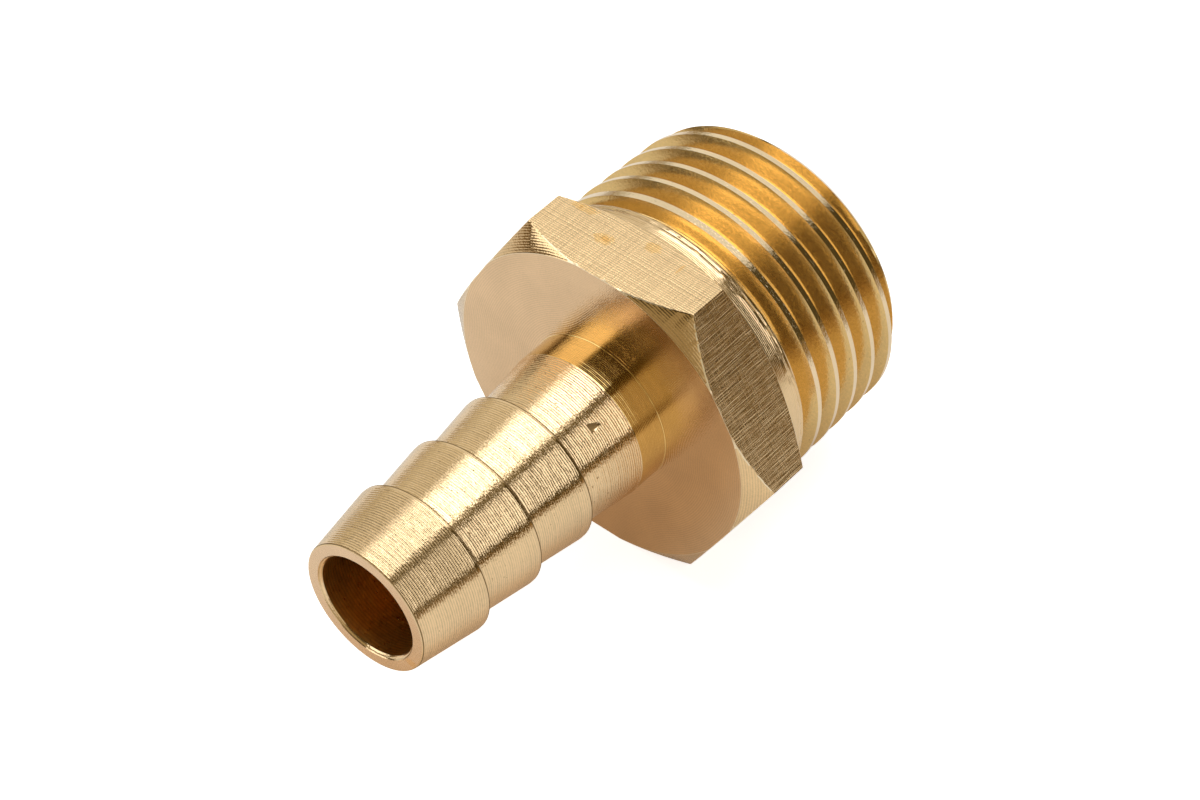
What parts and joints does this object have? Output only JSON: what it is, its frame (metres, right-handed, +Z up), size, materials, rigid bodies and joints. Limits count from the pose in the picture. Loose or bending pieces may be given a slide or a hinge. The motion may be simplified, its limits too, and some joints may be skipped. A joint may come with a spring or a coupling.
{
  "type": "hose barb tail",
  "caption": "Turned brass hose tail: a barbed tail for a push-on hose, a hexagon for a spanner and a tapered male pipe thread, with a bore right through.",
  "frame": {"origin": "on the axis, in the plane of the hexagon's face on the hose side", "axes": "+X along the axis towards the threaded end; +Z up, square to the hexagon's top flat; the fitting lies on the opposite flat"},
  "size_m": [0.0376, 0.025, 0.0218],
  "materials": {
    "brass": "bare machined brass, as turned"
  },
  "bodies": {
    "root": {"hose_tail": "brass"}
  },
  "joints": []
}
